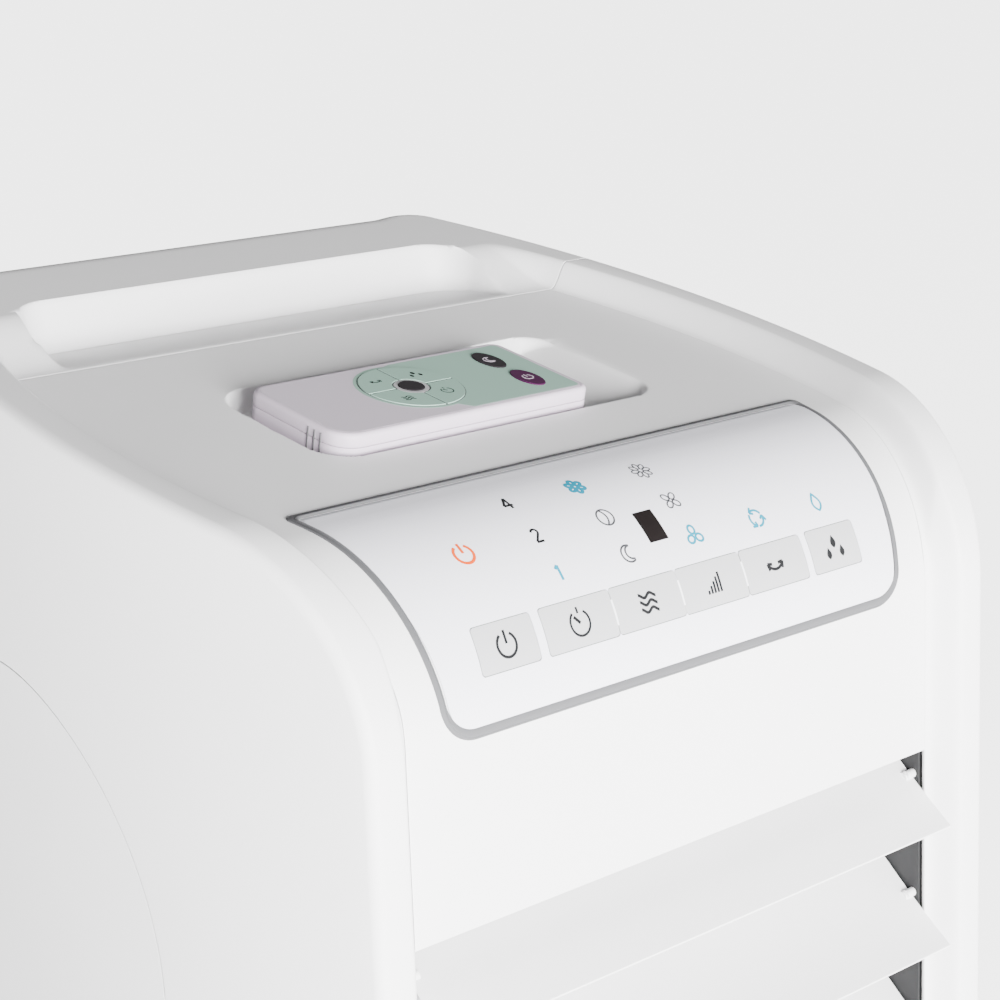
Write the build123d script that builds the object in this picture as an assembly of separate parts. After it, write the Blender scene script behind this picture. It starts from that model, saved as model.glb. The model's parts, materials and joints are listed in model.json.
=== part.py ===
"""Portable air conditioner: casing, louvres, control panel, remote control, fans and refrigerant circuit.

Model frame: X to the viewer's right, Y towards the back, Z up from the floor, all in millimetres.
Every piece is drawn with Y = 0 on the recessed front face, and add() moves it so that Y = 0 is the
middle of the depth.
"""
import math
import os

from build123d import *

# ---- casing ----
MID_DEPTH = 167.46          # depth of the bounding box centre behind the recessed face
FACE_HALF = 165.9           # half width of the recessed cover where it is widest
FACE_RADIUS = 390.0         # plan radius of the recessed cover's side edges
SIDE_HALF = 191.3           # half width of the casing where it is widest
SIDE_RADIUS = 480.0         # plan radius of the casing's sides
WIDEST_Y = 121.0            # depth at which the casing is widest
STRAIGHT_Y = 1.0            # the recessed cover's side edges run straight in front of this depth
BACK_Y = 336.0              # back face
BACK_CORNER = 36.0          # plan radius of the rear corners
RIM = 12.0                  # how far the side rims stand proud of the recessed cover
WALL = 2.6                  # moulded wall thickness
GAP = 0.4                   # visible gap between casing mouldings
BEND_Z = 585.0              # height where the front face starts to bend back
BEND_RADIUS = 72.6          # radius of the bend, measured on the recessed cover
BEND_ANGLE = 77.5           # the top rises towards the back by 90 minus this angle
SKIRT_Z = 32.0              # lower edge of the casing
CREST_RADIUS = 14.0         # rounded edge between the top and the back
SEAM_Y = 229.8              # seam between front cover and rear top cover
REAR_SEAM_TOP = 587.0       # height of the rear cover's top edge
REAR_SEAM_FRONT = 96.2      # front edge of the rear cover on the sides
REAR_SEAM_RADIUS = 110.0    # rounded corner of that edge
COVER_BOTTOM = 510.7        # lower edge of the front cover, above the louvres

# ---- louvres ----
LOUVRES = 5
LOUVRE_PITCH = 55.4
LOUVRE_TOP_Z = 498.6        # pivot of the top louvre
LOUVRE_Y = 6.8              # pivot depth
LOUVRE_CHORD = 57.0
LOUVRE_THICK = 2.6
LOUVRE_HALF = 145.6
LOUVRE_REST = 48.3          # blade angle from vertical as the machine stands
PIN_RADIUS = 2.0
PIN_CLEARANCE = 0.06
OUTLET_BOTTOM = 243.0       # lower edge of the louvre opening
DUCT_HALF = 149.6           # outside of the duct's cheeks
CRANK_X = 150.4             # inner face of the cranks, outside the left cheek
CRANK_THICK = 2.4
CRANK_RADIUS = 11.0
LINK_PIN = 1.5
MOTOR_X = 151.0

# ---- control panel ----
PANEL_BOTTOM_HALF = 127.5
PANEL_TOP_HALF = 142.5
PANEL_START = -2.9          # distances measured along the bend from its start
PANEL_END = 111.0
PANEL_CORNER = 16.0
KEY_LOW = 18.4
KEY_HIGH = 36.5
KEY_GAP = 0.3

# ---- remote control and its pocket, on the sloping top ----
REMOTE_LEFT, REMOTE_RIGHT = -83.4, 54.4
REMOTE_NEAR, REMOTE_FAR = 51.6, 113.6
REMOTE_TOP = 7.5            # height of its face above the top
REMOTE_THICK = 17.0
REMOTE_SPLIT = 11.0         # parting line above its underside
POCKET_LEFT, POCKET_RIGHT = -89.0, 96.0
POCKET_NEAR, POCKET_FAR = 48.8, 129.0
POCKET_DEPTH = 10.0
RING_X, RING_V, RING_RADIUS = -19.2, 84.7, 22.5
CENTRE_KEY_RADIUS = 8.0

# ---- handle recess behind the seam ----
DISH_WALL_Y = 277.0
DISH_HALF = 126.0
DISH_CORNER = 20.0
RAMP_END_Y = 268.0         # the top rises from the seam to rim height over this length
DISH_DEPTH = 10.0           # floor below the top at the handle's wall

# ---- back, base and inner works ----
GRILLE_HALF = 100.0
UPPER_GRILLE = (398.0, 562.0)
LOWER_GRILLE = (94.0, 236.0)
HOSE_RADIUS = 65.0
HOSE_Z = 317.0
COLLAR_DEPTH = 14.0
COLLAR_FRONT_Y = 277.0
COIL_FRONT_Y, COIL_BACK_Y = 291.0, 323.0
BASE_Z = 34.0
DECK_Z = 268.0
FRONT_CASTER = (128.0, 42.0)
REAR_CASTER = (112.0, 280.0)
WHEEL_RADIUS = 15.5
WHEEL_WIDTH = 14.0
CASTER_TRAIL = 9.0
DRAIN = (-88.0, 49.0)
CORD_INLET = (88.0, 77.0)
FAN_Z = 392.0
CONDENSER_FAN = (52.0, 168.0)
COMPRESSOR = (-72.0, 104.0)
PIPE_RISER = (-132.0, 90.0)

PARTS = {}


def sin(angle):
    return math.sin(math.radians(angle))


def cos(angle):
    return math.cos(math.radians(angle))


def add(name, *solids):
    """Keep one named piece, or a group of separate identical ones, in its final place."""
    placed = [Pos(0, -MID_DEPTH, 0) * solid for solid in solids]
    PARTS[name] = placed[0] if len(placed) == 1 else Compound(children=placed)


def box(x0, x1, y0, y1, z0, z1):
    return Pos((x0 + x1) / 2, (y0 + y1) / 2, (z0 + z1) / 2) * Box(x1 - x0, y1 - y0, z1 - z0)


def tube_x(y, z, radius, x0, x1):
    return Pos((x0 + x1) / 2, y, z) * Rot(0, 90, 0) * Cylinder(radius, x1 - x0)


def tube_y(x, z, radius, y0, y1):
    return Pos(x, (y0 + y1) / 2, z) * Rot(90, 0, 0) * Cylinder(radius, y1 - y0)


def tube_z(x, y, radius, z0, z1):
    return Pos(x, y, (z0 + z1) / 2) * Cylinder(radius, z1 - z0)


# ---- casing surfaces ----

def profile(offset, back, bottom=SKIRT_Z, corner=0.0):
    """Side view of everything below the recessed cover's surface, moved outwards by an offset."""
    radius = BEND_RADIUS + offset
    start = (-offset, BEND_Z)
    middle = (BEND_RADIUS - radius * cos(BEND_ANGLE / 2), BEND_Z + radius * sin(BEND_ANGLE / 2))
    end = (BEND_RADIUS - radius * cos(BEND_ANGLE), BEND_Z + radius * sin(BEND_ANGLE))
    rear = (back, end[1] + (back - end[0]) / math.tan(math.radians(BEND_ANGLE)))
    outline = [
        Line((-offset, bottom), start),
        ThreePointArc(start, middle, end),
        Line(end, rear),
        Line(rear, (back, bottom)),
        Line((back, bottom), (-offset, bottom)),
    ]
    face = make_face(outline)
    if corner:
        top_corner = face.vertices().sort_by(Axis.Y)[-1]
        face = fillet(top_corner, corner)
    return extrude(Plane.YZ * face, 220, both=True)


def arc_half(y, half, radius):
    return half - radius + math.sqrt(radius ** 2 - (y - WIDEST_Y) ** 2)


def plan(half, radius, front, back, corner=0.0):
    """Top view with bowed sides, as a tall block."""
    near = arc_half(front, half, radius)
    far = arc_half(back, half, radius)
    outline = [
        Line((-near, front), (near, front)),
        ThreePointArc((near, front), (half, WIDEST_Y), (far, back)),
        Line((far, back), (-far, back)),
        ThreePointArc((-far, back), (-half, WIDEST_Y), (-near, front)),
    ]
    face = make_face(outline)
    if corner:
        face = fillet(face.vertices().sort_by(Axis.Y)[-2:], corner)
    return extrude(face, 900)


def casing_body(inset):
    """The closed outer form at rim height, made smaller all round by an inset."""
    side = profile(RIM - inset, BACK_Y - inset, SKIRT_Z - 1, CREST_RADIUS - inset)
    top = plan(SIDE_HALF - inset, SIDE_RADIUS, -2 * RIM, BACK_Y - inset, BACK_CORNER - inset)
    return side & top


def between_rims(spread, back):
    """Tall block between the rims' inner walls, from in front of the face to a given depth."""
    near = arc_half(STRAIGHT_Y, FACE_HALF, FACE_RADIUS) + spread
    far = arc_half(back, FACE_HALF, FACE_RADIUS) + spread
    middle = FACE_HALF + spread
    outline = [
        Line((-near, -60), (near, -60)),
        Line((near, -60), (near, STRAIGHT_Y)),
        ThreePointArc((near, STRAIGHT_Y), (middle, WIDEST_Y), (far, back)),
        Line((far, back), (-far, back)),
        ThreePointArc((-far, back), (-middle, WIDEST_Y), (-near, STRAIGHT_Y)),
        Line((-near, STRAIGHT_Y), (-near, -60)),
    ]
    return extrude(make_face(outline), 900)


def top_height(y):
    """Height of the sloping top at a given depth."""
    return TOP.origin.Z + (y - TOP.origin.Y) / math.tan(math.radians(BEND_ANGLE))


def recess(spread):
    """The space between the rims, above the recessed cover; spread makes it larger all round."""
    above = profile(RIM + 20, BACK_Y + 40, SKIRT_Z - 2) - profile(-spread, BACK_Y + 60, SKIRT_Z - 3)
    start, end = SEAM_Y + spread, RAMP_END_Y + spread
    outline = Polyline(
        (-80, 0), (start, 0), (start, top_height(start) - spread), (end, top_height(end) + RIM - spread),
        (end + 40, 900), (-80, 900), close=True,
    )
    ramp = extrude(Plane.YZ * make_face(outline), 220, both=True)
    return above & between_rims(spread, RAMP_END_Y + 20) & ramp


TOP = Plane(
    origin=(0, BEND_RADIUS - BEND_RADIUS * cos(BEND_ANGLE), BEND_Z + BEND_RADIUS * sin(BEND_ANGLE)),
    x_dir=(1, 0, 0),
    z_dir=(0, -cos(BEND_ANGLE), sin(BEND_ANGLE)),
)


def on_top(x0, x1, v0, v1, w0, w1, corner=0.0):
    """A block on the sloping top: x across, v up the slope, w square to it."""
    sketch = RectangleRounded(x1 - x0, v1 - v0, corner) if corner else Rectangle(x1 - x0, v1 - v0)
    place = Pos((x0 + x1) / 2, (v0 + v1) / 2, w0)
    return TOP * (place * extrude(sketch, w1 - w0))


def dish(spread):
    """Handle recess: its floor falls from the seam to the foot of the handle's wall."""
    start, end = SEAM_Y + 3, DISH_WALL_Y + spread
    low = top_height(end) - DISH_DEPTH - spread
    outline = Polyline(
        (start, top_height(start) - spread), (end, low), (end, 900), (start, 900), close=True
    )
    wedge = extrude(Plane.YZ * make_face(outline), 220, both=True)
    length = 2 * (end - start)
    ends = RectangleRounded(2 * (DISH_HALF + spread), length, DISH_CORNER + spread)
    return wedge & (Pos(0, start, 0) * extrude(ends, 900))


def casing_shell():
    outer = casing_body(0) - recess(0) - dish(0)
    inner = casing_body(WALL) - recess(WALL) - dish(WALL)
    return outer - inner


def rear_region(spread):
    """Side view of the rear cover's share of the casing, with its big rounded front corner."""
    front = REAR_SEAM_FRONT - spread
    top = REAR_SEAM_TOP + spread
    radius = REAR_SEAM_RADIUS + spread
    middle = (front + radius - radius * cos(45), top - radius + radius * sin(45))
    outline = [
        Line((front, 0), (front, top - radius)),
        ThreePointArc((front, top - radius), middle, (front + radius, top)),
        Line((front + radius, top), (BACK_Y + 50, top)),
        Line((BACK_Y + 50, top), (BACK_Y + 50, 0)),
        Line((BACK_Y + 50, 0), (front, 0)),
    ]
    return extrude(Plane.YZ * make_face(outline), 220, both=True)


def build_casing():
    shell = casing_shell()
    centre = between_rims(-GAP, SEAM_Y)
    behind_seam = box(-300, 300, SEAM_Y, 400, REAR_SEAM_TOP, 900)

    pocket = on_top(POCKET_LEFT, POCKET_RIGHT, POCKET_NEAR, POCKET_FAR, -POCKET_DEPTH, 30, 18)
    tray = on_top(
        POCKET_LEFT - 2, POCKET_RIGHT + 2, POCKET_NEAR - 2, POCKET_FAR + 2, -POCKET_DEPTH - 2, -0.5, 20
    )
    cover_band = profile(0, 400) - profile(-WALL, 400)
    cover = cover_band & centre & box(-300, 300, -60, SEAM_Y, COVER_BOTTOM, 900)
    cover = cover + tray - pocket - panel_block(-WALL - 1, 20, 0.15)
    add("front_cover", cover)

    lower = cover_band & centre & box(-300, 300, -60, 60, SKIRT_Z, OUTLET_BOTTOM)
    ribs = [box(-120, 120, 2, 6, z, z + 3) for z in (80, 140, 200)]
    add("lower_front_panel", lower + ribs)

    sides = shell - rear_region(GAP) - behind_seam - between_rims(0, SEAM_Y + 1)
    for name, x in (("left_side_panel", -1), ("right_side_panel", 1)):
        half = sides & box(min(0, x * 300), max(0, x * 300), -60, 400, 0, 900)
        solids = half.solids().sort_by(SortBy.VOLUME)
        add(name, solids[-1])

    rear_top = shell & box(-300, 300, SEAM_Y + GAP, 400, REAR_SEAM_TOP + GAP, 900)
    rear_top = rear_top.solids().sort_by(SortBy.VOLUME)[-1]
    add("rear_top_cover", rear_top)

    rear = shell & rear_region(0)
    rear = rear & box(-300, 300, 0, 400, 0, REAR_SEAM_TOP)
    for low, high in (UPPER_GRILLE, LOWER_GRILLE):
        rear -= box(-GRILLE_HALF, GRILLE_HALF, BACK_Y - 40, BACK_Y + 20, low, high)
    rear -= tube_y(0, HOSE_Z, HOSE_RADIUS + 3, BACK_Y - 40, BACK_Y + 20)
    for x, z in (DRAIN, CORD_INLET):
        rear -= tube_y(x, z, 9, BACK_Y - 20, BACK_Y + 20)
    rear = rear.solids().sort_by(SortBy.VOLUME)[-1]
    add("rear_cover", rear)


# ---- control panel ----

def bend_height(distance):
    """Height of a point that lies a given distance along the bend."""
    length = math.radians(BEND_ANGLE) * BEND_RADIUS
    if distance <= 0:
        return BEND_Z + distance
    if distance <= length:
        return BEND_Z + BEND_RADIUS * math.sin(distance / BEND_RADIUS)
    return TOP.origin.Z + (distance - length) * cos(BEND_ANGLE)


def panel_outline(grow):
    low = bend_height(PANEL_START) - grow
    high = bend_height(PANEL_END) + grow * 0.3
    waist = (PANEL_BOTTOM_HALF + PANEL_TOP_HALF) / 2 - 0.5 + grow
    bottom = PANEL_BOTTOM_HALF + grow
    top = PANEL_TOP_HALF + grow
    middle = bend_height(52)
    outline = [
        Line((-bottom, low), (bottom, low)),
        ThreePointArc((bottom, low), (waist, middle), (top, high)),
        Line((top, high), (-top, high)),
        ThreePointArc((-top, high), (-waist, middle), (-bottom, low)),
    ]
    face = make_face(outline)
    corners = face.vertices().sort_by(Axis.Y)
    face = fillet(corners[:2], PANEL_CORNER + grow)
    return fillet(face.vertices().sort_by(Axis.Y)[-2:], 2.5)


def panel_block(inner, outer, grow):
    """Everything inside the panel's outline between two offsets of the cover's surface."""
    block = extrude(Plane.XZ.offset(-150) * panel_outline(grow), 300, both=True)
    band = profile(outer, 400) - profile(inner, 400)
    return band & block & box(-200, 200, -60, 110, 500, 900)


def key_plane():
    angle = math.degrees((KEY_LOW + KEY_HIGH) / 2 / BEND_RADIUS)
    origin = (0, BEND_RADIUS - BEND_RADIUS * cos(angle), BEND_Z + BEND_RADIUS * sin(angle))
    return Plane(origin=origin, x_dir=(1, 0, 0), z_dir=(0, -cos(angle), sin(angle)))


def key_block(x0, x1, inner, outer, grow):
    half_height = (KEY_HIGH - KEY_LOW) / 2 + grow
    sketch = Pos((x0 + x1) / 2, 0, 0) * RectangleRounded(x1 - x0 + 2 * grow, 2 * half_height, 1.5)
    block = key_plane() * extrude(sketch, 12, both=True)
    return block & (profile(outer, 400) - profile(inner, 400))


KEYS = (
    ("power_key", -107.4, -78.3),
    ("timer_key", -73.6, -37.0),
    ("mode_key", -36.4, -0.3),
    ("fan_speed_key", 0.3, 36.4),
    ("swing_key", 37.0, 73.4),
    ("dehumidify_key", 77.4, 106.8),
)


def build_control_panel():
    bezel = panel_block(-WALL - 0.8, 1.0, 0) - panel_block(-WALL - 3, 5, -2.2)
    bezel += panel_block(-WALL - 2.4, -WALL - 0.6, 3) - panel_block(-WALL - 4, 5, -2.2)
    add("control_panel_bezel", bezel)
    lens = panel_block(-1.6, 0.6, -2.4)
    for _, x0, x1 in KEYS:
        lens -= key_block(x0, x1, -6, 6, KEY_GAP)
    add("control_panel_lens", lens)
    for name, x0, x1 in KEYS:
        add(name, key_block(x0, x1, -1.0, 0.6, 0))
    board = panel_block(-6.2, -4.6, -9)
    seat = key_plane()
    for _, x0, x1 in KEYS:
        board += seat * (Pos((x0 + x1) / 2, 0, -3.6) * Cylinder(3, 3.2))
    add("control_board", board)


# ---- louvres ----

def louvre(index):
    """A slim bowed blade on two end pins, with a crank outside the duct that the link bar joins."""
    z = LOUVRE_TOP_Z - index * LOUVRE_PITCH
    half = LOUVRE_CHORD / 2
    bow = 1.6
    edge = LOUVRE_THICK / 2
    outline = [
        ThreePointArc((0.6, half), (edge + bow, 0), (0.6, -half)),
        ThreePointArc((0.6, -half), (0, -half - 0.6), (-0.6, -half)),
        ThreePointArc((-0.6, -half), (-edge + bow, 0), (-0.6, half)),
        ThreePointArc((-0.6, half), (0, half + 0.6), (0.6, half)),
    ]
    blade = extrude(Plane.YZ * make_face(outline), LOUVRE_HALF, both=True)
    for side in (-1, 1):
        x0, x1 = sorted((side * (LOUVRE_HALF - 5), side * LOUVRE_HALF))
        blade += tube_x(bow, 0, 2.6, x0, x1)
    driven = MOTOR_X + 6 if index == 0 else DUCT_HALF
    blade += tube_x(0, 0, PIN_RADIUS, LOUVRE_HALF - 4, driven)
    blade += tube_x(0, 0, PIN_RADIUS, -CRANK_X, 4 - LOUVRE_HALF)
    crank = box(-CRANK_X - CRANK_THICK, -CRANK_X, -4, CRANK_RADIUS, -3.2, 3.2)
    crank += tube_x(CRANK_RADIUS, 0, 3.2, -CRANK_X - CRANK_THICK, -CRANK_X)
    blade += crank + tube_x(0, 0, 4, -CRANK_X - CRANK_THICK, -CRANK_X)
    blade += tube_x(CRANK_RADIUS, 0, LINK_PIN, -CRANK_X - CRANK_THICK - 3.6, -CRANK_X)
    place = Pos(0, LOUVRE_Y, z) * Rot(-LOUVRE_REST, 0, 0)
    return place * blade


def link_pin(index):
    z = LOUVRE_TOP_Z - index * LOUVRE_PITCH
    return (LOUVRE_Y + CRANK_RADIUS * cos(LOUVRE_REST), z - CRANK_RADIUS * sin(LOUVRE_REST))


def build_louvres():
    for index in range(LOUVRES):
        add(f"louvre_{index + 1}", louvre(index))
    top_y, top_z = link_pin(0)
    low_z = link_pin(LOUVRES - 1)[1]
    inner = -CRANK_X - CRANK_THICK - 0.5
    bar = box(inner - 2.6, inner, top_y - 4, top_y + 4, low_z - 5, top_z + 5)
    for index in range(LOUVRES):
        y, z = link_pin(index)
        bar -= tube_x(y, z, LINK_PIN + PIN_CLEARANCE, inner - 4, inner + 1)
    add("louvre_link_bar", bar)
    motor = tube_x(LOUVRE_Y + 4, LOUVRE_TOP_Z, 10, MOTOR_X, MOTOR_X + 14)
    motor += box(MOTOR_X, MOTOR_X + 1.6, LOUVRE_Y - 2, LOUVRE_Y + 10, LOUVRE_TOP_Z - 16, LOUVRE_TOP_Z + 16)
    motor -= tube_x(LOUVRE_Y, LOUVRE_TOP_Z, PIN_RADIUS + PIN_CLEARANCE, MOTOR_X - 1, MOTOR_X + 7)
    add("louvre_motor", motor)


def build_outlet_duct():
    """Dark duct behind the louvres: two cheeks with the pivot holes, a roof, a floor and a back."""
    low, high = OUTLET_BOTTOM - 3, COVER_BOTTOM + 24
    duct = box(-DUCT_HALF, DUCT_HALF, 3.4, 62, low, high) - box(-146.8, 146.8, 0, 59.5, low + 3, high - 3)
    duct -= tube_y(0, FAN_Z, 74, 50, 70)
    guard = [tube_y(0, FAN_Z, r, 59.5, 62) - tube_y(0, FAN_Z, r - 2, 50, 70) for r in (24, 41, 58)]
    spokes = [Pos(0, 60.75, FAN_Z) * Rot(0, a, 0) * Box(150, 2.5, 2.4) for a in (0, 60, 120)]
    duct = duct + guard + spokes
    for index in range(LOUVRES):
        z = LOUVRE_TOP_Z - index * LOUVRE_PITCH
        for x0, x1 in ((-160, -146), (146, 160)):
            duct -= tube_x(LOUVRE_Y, z, PIN_RADIUS + PIN_CLEARANCE, x0, x1)
    add("air_outlet_duct", duct)


# ---- remote control ----

def remote_block(inset, w0, w1, corner=9.0):
    return on_top(
        REMOTE_LEFT + inset, REMOTE_RIGHT - inset, REMOTE_NEAR + inset, REMOTE_FAR - inset,
        w0, w1, corner - min(inset, 6),
    )


def remote_disc(x, v, radius, w0, w1):
    return TOP * (Pos(x, v, (w0 + w1) / 2) * Cylinder(radius, w1 - w0))


def remote_oval(x, v, grow, w0, w1):
    oval = Ellipse(5.6 + grow, 9.6 + grow)
    return TOP * (Pos(x, v, w0) * extrude(oval, w1 - w0))


def ring_segment(quarter, grow, w0, w1):
    outer = remote_disc(RING_X, RING_V, RING_RADIUS + grow, w0, w1)
    inner = remote_disc(RING_X, RING_V, CENTRE_KEY_RADIUS + 1.6 - grow, w0 - 1, w1 + 1)
    x0, x1 = ((0.9 - grow, 40) if quarter in (0, 3) else (-40, -0.9 + grow))
    v0, v1 = ((0.9 - grow, 40) if quarter in (0, 1) else (-40, -0.9 + grow))
    sector = on_top(RING_X + x0, RING_X + x1, RING_V + v0, RING_V + v1, w0 - 1, w1 + 1)
    return (outer - inner) & sector


REMOTE_OVALS = (("remote_sleep_key", 34.0, 95.0), ("remote_power_key", 34.8, 71.2))
REMOTE_SEGMENTS = (
    ("remote_dry_key", 0), ("remote_swing_key", 1), ("remote_fan_key", 2), ("remote_timer_key", 3),
)


def build_remote():
    base = REMOTE_TOP - REMOTE_THICK
    split = base + REMOTE_SPLIT
    upper = remote_block(0, split, REMOTE_TOP) - remote_block(1.8, split - 1, REMOTE_TOP - 1.8)
    lower = remote_block(0, base, split - 0.1) - remote_block(1.8, base + 1.8, split + 1)
    door_hole = on_top(-2, REMOTE_RIGHT + 1, REMOTE_NEAR + 8, REMOTE_FAR - 8, base - 1, base + 1.8)
    lower -= door_hole
    add("remote_lower_shell", lower)
    door = on_top(-1.6, REMOTE_RIGHT, REMOTE_NEAR + 8.4, REMOTE_FAR - 8.4, base, base + 1.6)
    add("remote_battery_door", door)
    low, high = REMOTE_TOP - 1.4, REMOTE_TOP + 0.35
    for name, x, v in REMOTE_OVALS:
        upper -= remote_oval(x, v, KEY_GAP, REMOTE_TOP - 5, REMOTE_TOP + 5)
        add(name, remote_oval(x, v, 0, low, high))
    upper -= remote_disc(RING_X, RING_V, CENTRE_KEY_RADIUS + KEY_GAP, REMOTE_TOP - 5, REMOTE_TOP + 5)
    add("remote_centre_key", remote_disc(RING_X, RING_V, CENTRE_KEY_RADIUS, low, high))
    for name, quarter in REMOTE_SEGMENTS:
        upper -= ring_segment(quarter, KEY_GAP, REMOTE_TOP - 5, REMOTE_TOP + 5)
        add(name, ring_segment(quarter, 0, low, REMOTE_TOP + 0.15))
    add("remote_upper_shell", upper)
    board = remote_block(4, base + 13.2, base + 14.4)
    add("remote_board", board)
    cells = []
    for v in (REMOTE_NEAR + 20, REMOTE_FAR - 20):
        cell = Pos(20, v, base + 7.2) * Rot(0, 90, 0) * Cylinder(5.2, 43)
        tip = Pos(42.2, v, base + 7.2) * Rot(0, 90, 0) * Cylinder(1.9, 1.4)
        cells.append(TOP * (cell + tip))
    add("remote_batteries", *cells)


# ---- back ----

def intake_grille(low, high):
    """Frame with level slats and three uprights; it clips into the rear cover."""
    edge = 8
    frame = box(-GRILLE_HALF + GAP, GRILLE_HALF - GAP, BACK_Y - 4, BACK_Y + 2, low + GAP, high - GAP)
    frame -= box(
        -GRILLE_HALF + edge, GRILLE_HALF - edge, BACK_Y - 7, BACK_Y + 5, low + edge, high - edge
    )
    count = round((high - low - 2 * edge) / 9.0)
    step = (high - low - 2 * edge) / count
    for index in range(1, count):
        z = low + edge + index * step
        frame += box(
            -GRILLE_HALF + edge - 1, GRILLE_HALF - edge + 1, BACK_Y - 2.5, BACK_Y + 2, z - 1.3, z + 1.3
        )
    for x in (-50, 0, 50):
        frame += box(x - 1.5, x + 1.5, BACK_Y - 4, BACK_Y + 0.5, low + edge - 1, high - edge + 1)
    return frame


def filter_panel(low, high):
    """Fine net in a slim frame, clipped to the inside of its grille."""
    frame = box(-GRILLE_HALF + 3, GRILLE_HALF - 3, BACK_Y - 7.4, BACK_Y - 4.1, low + 3, high - 3)
    frame -= box(-GRILLE_HALF + 9, GRILLE_HALF - 9, BACK_Y - 12, BACK_Y, low + 9, high - 9)
    net = box(-GRILLE_HALF + 8, GRILLE_HALF - 8, BACK_Y - 6.2, BACK_Y - 5.4, low + 8, high - 8)
    return frame + net


def build_back():
    add("upper_intake_grille", intake_grille(*UPPER_GRILLE))
    add("upper_air_filter", filter_panel(*UPPER_GRILLE))
    add("lower_intake_grille", intake_grille(*LOWER_GRILLE))
    collar = tube_y(0, HOSE_Z, HOSE_RADIUS + 2.6, COLLAR_FRONT_Y, BACK_Y + COLLAR_DEPTH)
    collar += tube_y(0, HOSE_Z, HOSE_RADIUS + 10, BACK_Y, BACK_Y + 2.6)
    collar -= tube_y(0, HOSE_Z, HOSE_RADIUS, COLLAR_FRONT_Y - 8, BACK_Y + COLLAR_DEPTH + 1)
    add("exhaust_collar", collar)
    plug = tube_y(*DRAIN, 5.44, BACK_Y - 8, BACK_Y + 4.4) + tube_y(*DRAIN, 8, BACK_Y + 4.4, BACK_Y + 8)
    add("drain_plug", plug)
    gland = tube_y(*CORD_INLET, 8.6, BACK_Y - 7, BACK_Y + 3) + tube_y(*CORD_INLET, 12, BACK_Y, BACK_Y + 3)
    gland -= tube_y(*CORD_INLET, 4.2, BACK_Y - 17, BACK_Y + 5)
    add("power_cord_inlet", gland)


# ---- base and casters ----

CASTERS = (
    ("front_left", -FRONT_CASTER[0], FRONT_CASTER[1]), ("front_right", *FRONT_CASTER),
    ("rear_left", -REAR_CASTER[0], REAR_CASTER[1]), ("rear_right", *REAR_CASTER),
)


def build_base():
    inner = plan(SIDE_HALF - WALL - 0.6, SIDE_RADIUS, 3.2, BACK_Y - WALL - 0.6, BACK_CORNER - 4)
    floor = inner & box(-200, 200, 0, BACK_Y, BASE_Z, BASE_Z + 4)
    lip = (inner & box(-200, 200, 0, BACK_Y, BASE_Z, BASE_Z + 26)) - (
        plan(SIDE_HALF - WALL - 4, SIDE_RADIUS, 6.2, BACK_Y - WALL - 4, BACK_CORNER - 8)
    )
    pan = floor + lip
    for _, x, y in CASTERS:
        pan -= tube_z(x, y, 21.6, BASE_Z - 5, BASE_Z + 10)
    for _, x, y in CASTERS:
        pan += (tube_z(x, y, 24, BASE_Z, BASE_Z + 14) & inner) - tube_z(x, y, 21.6, BASE_Z - 5, BASE_Z + 11)
        pan -= tube_z(x, y, 3.0 + PIN_CLEARANCE, BASE_Z, BASE_Z + 20)
    cx, cy = COMPRESSOR
    for side in (-1, 1):
        pan += tube_z(cx + side * 42, cy, 8, BASE_Z + 4, BASE_Z + 14)
    pan += tube_y(*DRAIN, 8.6, BACK_Y - 14, BACK_Y + 4)
    pan -= tube_y(*DRAIN, 5.5, BACK_Y - 20, BACK_Y + 5)
    add("base_pan", pan)
    top_of_well = BASE_Z + 11
    for name, x, y in CASTERS:
        axle_y = y + CASTER_TRAIL
        stem = tube_z(x, y, 3.0, 36, BASE_Z + 16)
        crown = box(x - 11, x + 11, y - 8, y + 12, 36.4, top_of_well - 0.8)
        cheeks = box(x - 11, x - 8.2, y - 5, axle_y + 5, 12, 40)
        cheeks += box(x + 8.2, x + 11, y - 5, axle_y + 5, 12, 40)
        axle = tube_x(axle_y, WHEEL_RADIUS, 2.0, x - 11, x + 11)
        add(f"caster_fork_{name}", stem + crown + cheeks + axle)
        wheel = tube_x(axle_y, WHEEL_RADIUS, WHEEL_RADIUS, x - WHEEL_WIDTH / 2, x + WHEEL_WIDTH / 2)
        wheel = fillet(wheel.edges().filter_by(GeomType.CIRCLE), 2.0)
        wheel -= tube_x(axle_y, WHEEL_RADIUS, 2.0 + PIN_CLEARANCE, x - 20, x + 20)
        add(f"caster_wheel_{name}", wheel)


# ---- refrigerant circuit and fans ----

def coil(low, high, front, back):
    """Finned heat exchanger: stacked fins on a core, with return bends at both ends."""
    block = box(-104, 104, front, back, low, high)
    for index in range(17):
        x = -96 + index * 12
        block -= box(x - 1.2, x + 1.2, front - 1, front + 3, low + 4, high - 4)
    rows = int((high - low) // 26)
    for index in range(rows):
        z = low + 13 + index * 26
        y = (front + back) / 2
        for side in (-1, 1):
            x0, x1 = sorted((side * 103, side * 114))
            block += tube_x(y, z - 6, 3.2, x0, x1)
            block += tube_x(y, z + 6, 3.2, x0, x1)
            outer = x0 if side < 0 else x1 - 4
            block += box(outer, outer + 4, y - 3.2, y + 3.2, z - 9, z + 9)
    return block


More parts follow.
